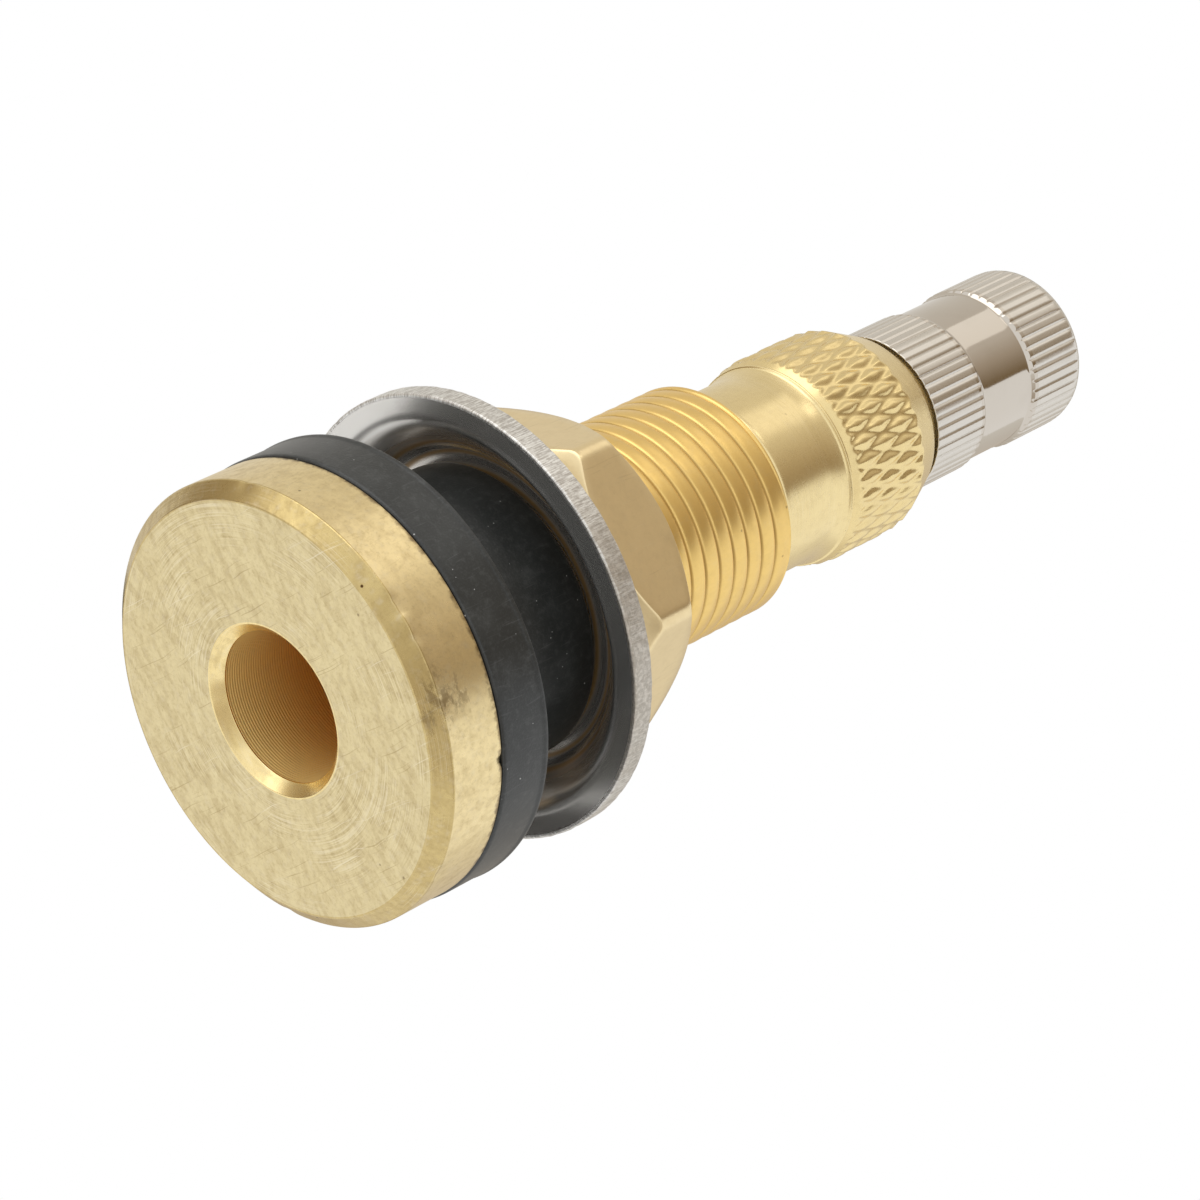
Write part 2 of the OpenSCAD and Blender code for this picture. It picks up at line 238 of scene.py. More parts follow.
def make_floor():
    """A pale sheet just under the flange that shows from above only. Part of its brightness is
    its own, so the shadow stays light, and far away it fades into the white of the world."""
    w = FLOOR_HALF_WIDTH
    z = -FLOOR_DROP
    floor = plain_mesh("floor", [(-w, -w, z), (w, -w, z), (w, w, z), (-w, w, z)], [(0, 1, 2, 3)])
    paint = Finish("pale_floor")
    paint.set(Base_Color=FLOOR_COLOUR, Roughness=0.9)
    here = paint.add("TexCoord", {}, out="Object")
    away = paint.add("VectorMath", {0: here}, out="Value", operation="LENGTH")
    own = paint.add("MapRange", {0: away, 1: FADE_START, 2: FADE_END, 3: FLOOR_GLOW, 4: 1.0},
                    interpolation_type="SMOOTHSTEP")
    glow = paint.add("Emission", {"Color": (1, 1, 1, 1), "Strength": 1.0})
    one_sided(paint, paint.add("MixShader", {0: own, 1: paint.shader.outputs[0], 2: glow}))
    paint.material.cycles.emission_sampling = "NONE"
    floor.data.materials.append(paint.material)
    floor.visible_diffuse = False
    floor.visible_glossy = False
    floor.visible_transmission = False
    floor.visible_shadow = False


def reflections_only(obj):
    """A stage piece that neither the camera nor soft light can see."""
    obj.visible_camera = False
    obj.visible_diffuse = False
    obj.visible_transmission = False
    obj.visible_shadow = False


def make_card(name, azimuth, elevation, first, last, distance=CARD_DISTANCE):
    """A bent card seen by reflections only, between two azimuths and two elevations.
    Its colour goes from first, at the lower azimuth, to last."""
    row = CARD_COLUMNS + 1
    points = [toward(h, v) * distance
              for v in np.linspace(*elevation, CARD_ROWS + 1) for h in np.linspace(*azimuth, row)]
    corners = [j * row + i for j in range(CARD_ROWS) for i in range(CARD_COLUMNS)]
    faces = [(a, a + 1, a + row + 1, a + row) for a in corners]
    card = plain_mesh(name, points, faces)
    share = card.data.attributes.new("share", "FLOAT", "POINT")
    share.data.foreach_set("value", np.tile(np.linspace(0, 1, row), CARD_ROWS + 1))
    paint = Finish(name)
    along = paint.add("Attribute", {}, out="Fac", attribute_name="share")
    shade = paint.blend(along, first, last)
    glow = paint.add("Emission", {"Color": shade, "Strength": 1.0})
    paint.plug(glow, paint.output.inputs["Surface"])
    paint.material.cycles.emission_sampling = "NONE"
    card.data.materials.append(paint.material)
    reflections_only(card)


def make_table_shadow_flag():
    """A black sheet beside the grommet, seen by reflections only: a painted shadow. It puts the
    shaded table, dark, into the lower part of the washer's reflection in place of the white table."""
    row = CARD_COLUMNS + 1
    bend = np.radians(np.linspace(*FLAG_ANGLES, row))
    points = [Vector((r * math.cos(t), r * math.sin(t), FLAG_Z)) * MM for r in FLAG_RADII for t in bend]
    faces = [(i, row + i, row + i + 1, i + 1) for i in range(CARD_COLUMNS)]
    flag = plain_mesh("table_shadow_flag", points, faces)
    paint = Finish("table_shadow_flag")
    paint.set(Base_Color=FLAG_SHADOW_COLOUR, Roughness=1.0)
    one_sided(paint, paint.shader.outputs[0])
    flag.data.materials.append(paint.material)
    reflections_only(flag)


make_floor()
make_table_shadow_flag()
make_card("dark_card", (3, 36), (4, 90), ROOM_BROWN, ROOM_DARK)
make_card("room_card", (-22, 3), (4, 90), ROOM_MIDDLE, ROOM_BROWN)
make_card("wall_card", (-180, -22), (4, 90), ROOM_LIGHT, ROOM_MIDDLE)
make_card("far_card", (112, 180), (4, 90), ROOM_LIGHT, ROOM_BROWN)
make_card("right_card", (40, 74), (-52, -4), ROOM_LIGHT, ROOM_BROWN)
make_card("left_card", (-150, -105), (-52, -4), ROOM_DARK, ROOM_BROWN)
# The back card's black is painted shade in the washer's hollow, where the rubber shades it
make_card("back_card", (-184, -155), (-6, 44), HOLLOW_SHADE_BLACK, HOLLOW_SHADE_BLACK, NEAR_DISTANCE)
make_card("camera_card", (-28, 52), (-80, -38), ROOM_LIGHT, ROOM_BROWN)
print("stage: floor, flag and 8 cards")

# %% Lamps


def make_lamp(name, azimuth, elevation, size, power):
    """A square soft box aimed at the middle of the valve. Angles as for the cards."""
    spot = toward(azimuth, elevation)
    lamp = bpy.data.objects.new(name, bpy.data.lights.new(name, "AREA"))
    scene.collection.objects.link(lamp)
    lamp.location = CAMERA_AIM + spot
    lamp.rotation_mode = "QUATERNION"
    lamp.rotation_quaternion = (-spot).to_track_quat("-Z", "Y")
    lamp.data.size = size
    lamp.data.energy = power


make_lamp("key_box", -66, -8, 0.8, 2.2)
make_lamp("top_box", -50, 44, 0.5, 0.32)
make_lamp("low_box", -100, -45, 0.5, 0.5)
make_lamp("spark_lamp", -35, 20, 0.25, 0.2)
print("lamps: 4 soft boxes")

# %% [markdown]
# ## Turning on a lathe
# Nearly every piece of a valve is turned, so one small kit makes them all. An outline of radius
# and height is softened at its corners, as any real edge is, and carried round the axis. Blender's
# Screw modifier could do that, but a grid of points in code lets a thread, a knurl or a nick
# change the radius point by point. A thread is a grid whose rows climb with the helix, so its
# grooves stay sharp with few points. Patches that share an edge are welded into one closed mesh.

# %% Lathe kit
WELD = 0.0005
SLIVER = 0.0001


def soften(corners, steps=4):
    """Outline through corners of (radius, height, cut): each corner is rounded off over its cut."""
    path = []
    for i, (r, z, cut) in enumerate(corners):
        here = np.array((r, z), float)
        if cut == 0:
            path.append(here)
            continue
        before = np.array(corners[i - 1][:2]) - here
        after = np.array(corners[(i + 1) % len(corners)][:2]) - here
        start = here + before / np.linalg.norm(before) * cut
        end = here + after / np.linalg.norm(after) * cut
        for t in np.linspace(0, 1, steps + 1):
            path.append((1 - t) ** 2 * start + 2 * t * (1 - t) * here + t**2 * end)
    return np.array(path)


def spaced(path, step):
    """The same outline with extra points, so that no stretch is longer than step."""
    rows = [path[0]]
    for a, b in zip(path[:-1], path[1:]):
        parts = max(1, math.ceil(np.linalg.norm(b - a) / step))
        rows.extend(a + (b - a) * k / parts for k in range(1, parts + 1))
    return np.array(rows)


def around(segments):
    return np.linspace(0, TURN, segments + 1)


def turned(path, angles):
    """Grid of radius, height and angle: the outline carried once round the axis."""
    path = np.asarray(path, float)
    radius = np.repeat(path[:, :1], len(angles), axis=1)
    height = np.repeat(path[:, 1:], len(angles), axis=1)
    return radius, height, np.broadcast_to(angles, radius.shape)


def threaded(radius, pitch, profile, low, high, fade, angles):
    """Grid that climbs with a right-hand thread. The profile is pairs of pitch share and depth,
    and the depth fades out over a length at both ends."""
    shares, depths = np.array(profile).T
    turns = np.arange(-1, math.ceil((high - low) / pitch) + 1)
    start = low + (turns[:, None] + shares).ravel() * pitch
    height = start[:, None] + pitch * angles / TURN
    height = np.clip(height, low, high)
    depth = np.tile(depths, len(turns))[:, None]
    room = np.clip(np.minimum(height - low, high - height) / fade, 0, 1)
    return radius - depth * room, height, np.broadcast_to(angles, height.shape)


def welded(name, patches, sharp_angle=38):
    """One closed mesh from patches of (grid, finish). Points are in millimetres."""
    mesh = bpy.data.meshes.new(name)
    points, faces, finish_of, finishes = [], [], [], []
    for (radius, height, angle), finish in patches:
        if finish not in finishes:
            finishes.append(finish)
        rows, columns = radius.shape
        base = sum(len(p) for p in points)
        spots = np.stack([radius * np.cos(angle), radius * np.sin(angle), height], axis=-1)
        points.append(spots.reshape(-1, 3) * MM)
        index = base + np.arange(rows * columns).reshape(rows, columns)
        quads = np.stack([index[:-1, :-1], index[:-1, 1:], index[1:, 1:], index[1:, :-1]], axis=-1)
        faces.append(quads.reshape(-1, 4))
        finish_of.append(np.full(quads.size // 4, finishes.index(finish)))
    mesh.from_pydata(np.concatenate(points), [], np.concatenate(faces))
    for finish in finishes:
        mesh.materials.append(finish)
    mesh.polygons.foreach_set("material_index", np.concatenate(finish_of))
    weld = bmesh.new()
    weld.from_mesh(mesh)
    bmesh.ops.remove_doubles(weld, verts=weld.verts, dist=WELD * MM)
    bmesh.ops.dissolve_degenerate(weld, edges=weld.edges, dist=SLIVER * MM)
    bmesh.ops.recalc_face_normals(weld, faces=weld.faces)
    open_edges = sum(not e.is_manifold for e in weld.edges)
    weld.to_mesh(mesh)
    weld.free()
    mesh.shade_smooth()
    mesh.set_sharp_from_angle(angle=math.radians(sharp_angle))
    obj = bpy.data.objects.new(name, mesh)
    scene.collection.objects.link(obj)
    print(name, len(mesh.polygons), "faces,", open_edges, "open edges")
    return obj


def place(obj, body, node):
    """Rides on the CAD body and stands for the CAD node."""
    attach(obj, body)
    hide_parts(node)
    return obj


def ripple(angle, waves, seed):
    """A smooth uneven line round the axis, about -1 to 1: a sum of seeded waves."""
    draw = np.random.default_rng(seed)
    total = np.zeros_like(angle)
    for wave in waves:
        total = total + np.sin(wave * angle + draw.uniform(0, TURN)) * draw.uniform(0.6, 1.4)
    return total / math.sqrt(len(waves))


print("lathe kit ready")

# %% [markdown]
# ## Brass
# Freshly turned brass is a pale gold mirror that has been scratched in rings by the tool. The
# shader is metal, and its life comes from layers of noise: fine lines that run round the axis,
# soft brownish tarnish with the streaks of rubbing in it, straight handling scratches and a few
# dark pits. The lines use the direction round the axis instead of an angle, because an angle jumps
# where it closes.

# %% Shared textures
SCRATCH_LAYERS = 5
SCRATCH_STRETCH = (9.0, 0.16, 0.4)
SCRATCH_BEND = 0.9
GOLDEN_ANGLE = 2.4


def axis_places(finish):
    """Place in millimetres, direction round the axis, radius and height of each point."""
    here = finish.add("TexCoord", {}, out="Object")
    place_mm = finish.add("VectorMath", {0: here, "Scale": 1 / MM}, operation="SCALE")
    flat = finish.add("VectorMath", {0: place_mm, 1: (1, 1, 0)}, operation="MULTIPLY")
    direction = finish.add("VectorMath", {0: flat}, operation="NORMALIZE")
    radius = finish.add("VectorMath", {0: flat}, out="Value", operation="LENGTH")
    height = finish.add("SeparateXYZ", {0: place_mm}, out="Z")
    return place_mm, direction, radius, height


def tool_lines(finish, direction, radius, height, per_mm, length):
    """Noise drawn out into lines round the axis. A larger length number makes shorter lines."""
    along = finish.times(height, 1.3, radius)
    step = finish.times(along, per_mm)
    up = finish.add("CombineXYZ", {"Z": step})
    turn = finish.add("VectorMath", {0: direction, "Scale": length}, operation="SCALE")
    where = finish.add("VectorMath", {0: turn, 1: up}, operation="ADD")
    return finish.noise(where, 1.0, 3.0, 0.6)


def scratches(finish, place_mm, keep):
    """Fine marks in several directions: noise stretched until only its ridges are left. The place
    is bent a little first, so that no two marks run quite parallel."""
    bend = finish.add("TexNoise", {"Vector": place_mm, "Scale": 0.22, "Detail": 2.0}, out="Color")
    shift = finish.add("VectorMath", {0: bend, "Scale": SCRATCH_BEND}, operation="SCALE")
    bent = finish.add("VectorMath", {0: place_mm, 1: shift}, operation="ADD")
    marks = 0.0
    for k in range(SCRATCH_LAYERS):
        turn = (0.25, 0.15, k * GOLDEN_ANGLE)
        laid = finish.add("Mapping", {"Vector": bent, "Rotation": turn, "Scale": SCRATCH_STRETCH})
        noise = finish.noise(laid, 1.0, 1.0)
        marks = finish.math("MAXIMUM", marks, finish.ramp(noise, keep, keep + 0.06))
    return marks


def specks(finish, place_mm, per_mm, size, share):
    """Small round spots at random places. Share is how many cells have one."""
    cell = {"Vector": place_mm, "Scale": per_mm, "Randomness": 1.0}
    distance = finish.add("TexVoronoi", cell, out="Distance")
    colour = finish.add("TexVoronoi", cell, out="Color")
    pick = finish.add("SeparateColor", {0: colour})
    chosen = finish.math("LESS_THAN", pick, share)
    spot = finish.inverse(finish.ramp(distance, size * 0.5, size))
    return finish.times(spot, chosen)


print("textures ready")

# %% Brass finishes
BRASS_DULL = (0.38, 0.27, 0.11, 1)
BRASS_PALE = (0.92, 0.83, 0.62, 1)
# Painted shade: the redder brass deep in the bore
BRASS_BORE_SHADE = (0.80, 0.42, 0.09, 1)
# Painted shade: the brown of the thread's grooves
GROOVE_SHADE_BROWN = (0.40, 0.25, 0.08, 1)
PIT_BROWN = (0.10, 0.05, 0.02, 1)
RING_PITCH = 0.16
STREAK_TURN = (0.3, 0.2, 0.7)
STREAK_STRETCH = (1.0, 2.2, 1.5)
BLOT_TURN = (0.0, 0.0, 0.4)
BLOT_STRETCH = (0.7, 1.4, 1.4)
# How much each layer shows where its share is 1
CLOUD_TARNISH = 0.75
GRIT_TARNISH = 0.45
STREAK_TARNISH = 0.42
WORN_SHINE = 0.5
LINE_DULL = 0.35
LINE_SHINE = 0.5
LINE_DENT = 0.7
SCRATCH_TINT = 0.45
SCRATCH_DENT = -0.25
GROOVE_SHADE_SHARE = 0.7
GRIME_TINT = 0.75
GRIME_RAGGED = 0.7
SMUDGE_TINT = 0.5
DULL_ROUGHNESS = 0.25


def smudge(finish, place_mm, spot, size):
    """A patch of soft dark blotches, densest at its middle."""
    away = finish.add("VectorMath", {0: place_mm, 1: spot}, out="Value", operation="DISTANCE")
    near = finish.inverse(finish.ramp(away, 0.1 * size, size))
    laid = finish.add("Mapping", {"Vector": place_mm, "Rotation": BLOT_TURN, "Scale": BLOT_STRETCH})
    blot = finish.noise(laid, 1.0, 7.0, 0.75)
    worn = finish.times(near, 0.22, blot)
    return finish.times(finish.ramp(worn, 0.62, 0.78), near)


def brass(name, colour, roughness, lines=0.0, tarnish=0.1, scratch=0.0, pits=0.0, rings=0.0,
          metal=1.0, bore_shade=None, groove=None, grime=None, stained=None):
    """Brass with a share of each layer: tool lines, tarnish, scratches, pits and the even rings
    that a boring tool leaves. One pair of heights sets where the brass turns redder down the bore, a
    painted shade; grime is two heights between which it goes dirty. Groove is two radii below which
    the brass is painted brown, a painted shade in the thread's grooves. Stained is a spot and a size."""
    finish = Finish(name)
    place_mm, direction, radius, height = axis_places(finish)
    broad = finish.noise(place_mm, 0.35, 8.0, 0.72)
    small = finish.noise(place_mm, 2.2, 4.0, 0.6)
    grit = finish.noise(place_mm, 4.0, 8.0, 0.8)
    cloud = finish.times(small, 0.5, finish.times(broad, 0.6))
    stain = finish.times(finish.ramp(cloud, 0.42, 0.92), CLOUD_TARNISH * tarnish)
    stain = finish.times(finish.ramp(grit, 0.47, 0.66), GRIT_TARNISH * tarnish, stain)
    laid = {"Vector": place_mm, "Rotation": STREAK_TURN, "Scale": STREAK_STRETCH}
    rubbed = finish.add("Mapping", laid)
    streak = finish.noise(rubbed, 1.0, 4.0, 0.55)
    stain = finish.times(finish.ramp(streak, 0.40, 0.68), STREAK_TARNISH * tarnish, stain)
    fine = tool_lines(finish, direction, radius, height, 15.0, 2.6)
    patchy = finish.noise(place_mm, 0.22, 2.0)
    centred = finish.math("SUBTRACT", fine, 0.5)
    fine = finish.times(centred, finish.ramp(patchy, 0.40, 0.62), 0.5)
    cut = finish.times(scratches(finish, place_mm, 0.71), scratch)
    pit = finish.times(specks(finish, place_mm, 0.9, 0.09, 0.14), pits)
    tone = colour
    # Painted shade: the brass turns redder down the bore, away from the light at its mouth
    if bore_shade:
        tone = finish.blend(finish.ramp(height, *bore_shade), tone, BRASS_BORE_SHADE)
    valley = finish.ramp(finish.inverse(fine), 0.48, 0.64)
    tint = finish.times(valley, LINE_DULL * lines, stain)
    tone = finish.blend(tint, tone, BRASS_DULL)
    arcs = finish.times(finish.ramp(fine, 0.50, 0.66), LINE_SHINE * lines)
    shine = finish.times(finish.ramp(small, 0.48, 0.82), WORN_SHINE * tarnish, arcs)
    tone = finish.blend(shine, tone, BRASS_PALE)
    marked = finish.blend(finish.ramp(patchy, 0.46, 0.54), BRASS_DULL, BRASS_PALE)
    tone = finish.blend(finish.times(cut, SCRATCH_TINT), tone, marked)
    # Painted shade: the thread's grooves are painted a darker brown
    if groove:
        low = finish.inverse(finish.ramp(radius, *groove))
        tone = finish.blend(finish.times(low, GROOVE_SHADE_SHARE), tone, GROOVE_SHADE_BROWN)
    if grime:
        ragged = finish.times(finish.math("SUBTRACT", small, 0.5), GRIME_RAGGED, height)
        dirt = finish.times(finish.ramp(ragged, *grime), GRIME_TINT)
        tone = finish.blend(dirt, tone, PIT_BROWN)
    if stained:
        blots = finish.times(smudge(finish, place_mm, *stained), SMUDGE_TINT)
        pit = finish.math("MAXIMUM", pit, blots)
    tone = finish.blend(pit, tone, PIT_BROWN)
    matt = finish.times(stain, DULL_ROUGHNESS, roughness)
    ridges = finish.times(fine, LINE_DENT * lines)
    dents = finish.times(cut, SCRATCH_DENT, ridges)
    dents = finish.times(pit, -1.0, dents)
    wave = finish.math("SINE", finish.times(height, TURN / RING_PITCH))
    dents = finish.times(wave, rings, dents)
    bump = finish.bump(dents, 0.35, 0.03)
    finish.set(Base_Color=tone, Metallic=metal, Roughness=matt, Normal=bump)
    return finish.material


# The stained place is on the flange's edge, on the side that faces the camera
STAINED_PLACE = ((3.2, -11.2, 1.0), 3.0)

faced_brass = brass("faced_brass", (0.78, 0.66, 0.38, 1), 0.32,
                    lines=0.7, tarnish=0.55, scratch=1.0, pits=0.5)
# The chamfer's brass is darker than the face and side: painted shade for the darker room it faces. Its
# tarnish, pits and stain are wear.
shaded_edge_brass = brass("shaded_edge_brass", (0.66, 0.515, 0.235, 1), 0.26,
                   lines=0.5, tarnish=0.6, scratch=0.5, pits=1.0, stained=STAINED_PLACE)
# The bore's lip is a paler, brighter brass than the face: a painted highlight
lit_lip_brass = brass("lit_lip_brass", (0.95, 0.765, 0.38, 1), 0.22, lines=0.5, tarnish=0.3)
side_brass = brass("side_brass", (0.89, 0.735, 0.41, 1), 0.27, tarnish=0.5, scratch=0.3, pits=0.6,
                   grime=(3.70, 4.02), stained=STAINED_PLACE)
bored_brass = brass("bored_brass", (0.97, 0.72, 0.28, 1), 0.40,
                    tarnish=0.1, pits=0.5, rings=1.4, metal=0.35, bore_shade=(0.6, 7.0))
# Its groove radii paint the thread's roots brown: painted shade
thread_brass = brass("thread_brass", (0.90, 0.635, 0.225, 1), 0.32,
                     tarnish=0.15, scratch=0.1, pits=0.4, groove=(6.36, 6.45))
nut_brass = brass("nut_brass", (0.87, 0.71, 0.42, 1), 0.28, tarnish=0.15, scratch=0.3, pits=0.6)
band_brass = brass("band_brass", (0.89, 0.73, 0.39, 1), 0.25,
                   lines=0.25, tarnish=0.15, scratch=0.15, pits=0.2)
knurl_brass = brass("knurl_brass", (0.87, 0.70, 0.355, 1), 0.26, tarnish=0.15)
core_brass = brass("core_brass", (0.80, 0.62, 0.30, 1), 0.28, lines=0.5, tarnish=0.2, scratch=0.1)
print("brass finishes: 10")

# %% [markdown]
# ## Nickel, rubber and the small parts
# The cap and the washer are plated, so they are a warmer and darker mirror than chrome. The
# washer's edge was sheared from sheet: it is torn, bright and rough. The rubber is black with a
# satin skin, and a little dust and scuffing is what tells the eye that it is rubber.

# %% Nickel, rubber and other finishes
NICKEL_DULL = (0.42, 0.38, 0.32, 1)
# Painted reflection: the brown of the brass thread as the dish mirrors it
THREAD_REFLECTION_BROWN = (0.40, 0.25, 0.10, 1)
WASHER_PLATE = (0.74, 0.72, 0.68, 1)
EDGE_DARK = (0.48, 0.45, 0.41, 1)
EDGE_BRIGHT = (0.88, 0.87, 0.83, 1)
SPECKLE_PALE = (0.60, 0.55, 0.48, 1)
DULL_SIDE = (0.5, -0.866, 0)
EDGE_MARKS = 150.0
SCUFF_GREY = (0.072, 0.075, 0.072, 1)
DUST_GREY = (0.62, 0.62, 0.60, 1)
RUBBED_GREY = (0.30, 0.30, 0.30, 1)
SEAL_WHITE = (0.80, 0.78, 0.72, 1)
SEAL_DULL = (0.66, 0.63, 0.56, 1)


def nickel(name, colour, roughness, lines, stain_share, reflected_rings=None, metal=1.0):
    """Nickel plate with faint tool lines and a soft stain. A pair of radii may be given for thin brown
    rings painted on the plate, a painted reflection of the brass thread: inside the first radius they
    show, and at the second they have faded out."""
    finish = Finish(name)
    place_mm, direction, radius, height = axis_places(finish)
    fine = tool_lines(finish, direction, radius, height, 9.0, 2.0)
    broad = finish.noise(place_mm, 0.5, 5.0, 0.6)
    stain = finish.times(finish.ramp(broad, 0.45, 0.75), stain_share)
    tone = finish.blend(stain, colour, NICKEL_DULL)
    shine = metal
    # Painted reflection: thin brown rings, with less metal, where the dish mirrors the brass thread
    if reflected_rings:
        ring = finish.inverse(finish.ramp(radius, *reflected_rings))
        bands = finish.add("TexNoise", {"W": radius, "Scale": 1.3, "Detail": 1.0}, noise_dimensions="1D")
        painted_reflection = finish.times(ring, finish.ramp(bands, 0.40, 0.62))
        tone = finish.blend(painted_reflection, tone, THREAD_REFLECTION_BROWN)
        shine = finish.times(painted_reflection, -0.65, metal)
    matt = finish.times(fine, 0.10 * lines, roughness)
    bump = finish.bump(fine, 0.2 * lines, 0.02)
    finish.set(Base_Color=tone, Metallic=shine, Roughness=matt, Normal=bump)
    return finish.material


def sheared_edge():
    """The sheared edge of the washer: fine marks across the sheet, and a duller, darker speckled stretch
    on the side toward DULL_SIDE.
    """
    finish = Finish("sheared_edge")
    place_mm, direction, radius, height = axis_places(finish)
    turn = finish.add("VectorMath", {0: direction, "Scale": EDGE_MARKS}, operation="SCALE")
    up = finish.add("CombineXYZ", {"Z": finish.times(height, 1.4)})
    across = finish.add("VectorMath", {0: turn, 1: up}, operation="ADD")
    marks = finish.noise(across, 1.0, 5.0, 0.65)
    grain = finish.noise(place_mm, 4.5, 6.0, 0.7)
    torn = finish.times(grain, 0.3, finish.times(marks, 0.8))
    # Darker and speckled along the side of the edge toward DULL_SIDE
    slow = finish.noise(direction, 3.0, 3.0)
    sides = {0: direction, 1: DULL_SIDE}
    facing = finish.add("VectorMath", sides, out="Value", operation="DOT_PRODUCT")
    stretch = finish.times(finish.math("SUBTRACT", slow, 0.5), 0.5, facing)
    dull = finish.times(finish.ramp(stretch, 0.80, 0.98), 0.85)
    dull_speckle = finish.blend(finish.ramp(grain, 0.42, 0.60), NICKEL_DULL, SPECKLE_PALE)
    tone = finish.blend(finish.ramp(torn, 0.43, 0.67), EDGE_DARK, EDGE_BRIGHT)
    tone = finish.blend(dull, tone, dull_speckle)
    bump = finish.bump(torn, 0.8, 0.04)
    finish.set(Base_Color=tone, Metallic=0.8, Roughness=0.30, Normal=bump)
    return finish.material


def rubber(name, colour, roughness, dust):
    """Black rubber with a satin skin, scuffed patches and specks of dust."""
    finish = Finish(name)
    place_mm = axis_places(finish)[0]
    skin = finish.noise(place_mm, 9.0, 4.0)
    cloud = finish.noise(place_mm, 0.4, 5.0)
    scuff = finish.times(finish.ramp(cloud, 0.45, 0.75), 0.35)
    bloom = finish.noise(place_mm, 2.5, 6.0, 0.7)
    scuff = finish.times(finish.ramp(bloom, 0.48, 0.72), 0.55 * dust, scuff)
    scuff = finish.times(finish.ramp(skin, 0.50, 0.70), 0.25 * dust, scuff)
    tone = finish.blend(scuff, colour, SCUFF_GREY)
    grain = finish.math("MAXIMUM", specks(finish, place_mm, 1.1, 0.06, 0.30),
                        specks(finish, place_mm, 2.3, 0.08, 0.16))
    tone = finish.blend(finish.times(grain, dust), tone, DUST_GREY)
    rubbed = finish.times(scratches(finish, place_mm, 0.72), 0.09 * dust)
    tone = finish.blend(rubbed, tone, RUBBED_GREY)
    matt = finish.times(cloud, 0.16, roughness)
    bump = finish.bump(skin, 0.4, 0.03)
    finish.set(Base_Color=tone, Roughness=matt, Normal=bump, Specular_IOR_Level=0.56)
    return finish.material


def white_plastic():
    """The hard white seal ring on the core's barrel."""
    finish = Finish("white_seal")
    place_mm = axis_places(finish)[0]
    cloud = finish.noise(place_mm, 1.5, 4.0)
    tone = finish.blend(cloud, SEAL_WHITE, SEAL_DULL)
    finish.set(Base_Color=tone, Roughness=0.42)
    return finish.material


plated_nickel = nickel("plated_nickel", (0.69, 0.655, 0.60, 1), 0.25, 0.3, 0.10)
waist_nickel = nickel("waist_nickel", (0.62, 0.57, 0.505, 1), 0.07, 0.3, 0.10)
washer_nickel = nickel("washer_nickel", WASHER_PLATE, 0.22, 0.25, 0.10, metal=0.9)
# The dish has a painted reflection of the brass thread in brown rings
dish_nickel = nickel("dish_nickel", WASHER_PLATE, 0.22, 0.25, 0.10, reflected_rings=(9.3, 10.4), metal=0.9)
spring_steel = nickel("spring_steel", (0.55, 0.54, 0.52, 1), 0.25, 0.3, 0.20)
torn_nickel = sheared_edge()
grommet_rubber = rubber("grommet_rubber", (0.0195, 0.0215, 0.0205, 1), 0.27, 0.9)
gasket_rubber = rubber("gasket_rubber", (0.022, 0.022, 0.022, 1), 0.45, 0.2)
seal_plastic = white_plastic()
print("nickel, rubber and plastic finishes: 9")

# %% [markdown]
# ## The stem
# One brass turning: flange, shank and thin neck, with the big bore through it. Its outline is cut
# into patches, one for each finish. The flange has been knocked about, so small nicks are cut into
# its two edges as geometry, and the shank has its real thread: broad rounded crests with narrow
# grooves. The neck has a finer one, on which the housing turns.

# %% Stem
STEM_SEGMENTS = 288
FLANGE_T = 4.0
CHAMFER_W = 0.8
CHAMFER_H = 0.7
BORE_R = 4.0
BORE_CHAMFER = 0.55
SHANK_R = 6.5
SHOULDER_Z = 31.7
SHANK_CHAMFER = 0.5
NECK_R = 4.525
NECK_BORE_R = 3.025
NECK_CHAMFER = 0.35
SHANK_PITCH = 1.09
THREAD_START = 13.9
SHANK_PROFILE = [(0.00, 0.17), (0.03, 0.145), (0.06, 0.09), (0.11, 0.058), (0.20, 0.032),
                 (0.34, 0.010), (0.50, 0.0), (0.66, 0.010), (0.80, 0.032), (0.89, 0.058),
                 (0.94, 0.09), (0.97, 0.145)]
NECK_PITCH = 0.9
NECK_RELIEF = 1.0
NECK_PROFILE = [(0.0, 0.24), (0.12, 0.21), (0.38, 0.03), (0.5, 0.0), (0.62, 0.03), (0.88, 0.21)]
NICK_FADE = 0.4
SHANK_FADE = 0.4
NECK_FADE = 0.3
PATCH_LAP = 0.08
CHAMFER_STEP = 0.12
SIDE_STEP = 0.2
# Angle in degrees, height, width and depth of each nick in the flange's edges
NICKS = [(-100, 0.72, 0.22, 0.10), (-97.5, 0.70, 0.30, 0.12), (-90, 0.72, 0.25, 0.09),
         (-74, 0.66, 0.45, 0.07), (-53, 3.92, 0.28, 0.18), (-152, 0.70, 0.35, 0.06),
         (-25, 0.75, 0.40, 0.08), (38, 0.70, 0.35, 0.07), (118, 0.75, 0.40, 0.08),
         (171, 3.90, 0.35, 0.10), (78, 3.95, 0.30, 0.09)]


def nicked(grid, nicks):
    """The grid with a small hollow at each nick. The inner border of the grid stays as it is, so
    that it still meets the next patch."""
    radius, height, angle = grid
    radius = radius.copy()
    room = np.clip((radius - radius.max() + CHAMFER_W) / NICK_FADE, 0, 1)
    for degrees, at, width, depth in nicks:
        aside = (angle - math.radians(degrees) + math.pi) % TURN - math.pi
        far = np.hypot(aside * radius, height - at) / width
        radius -= depth * room * np.exp(-far**2)
    return radius, height, angle


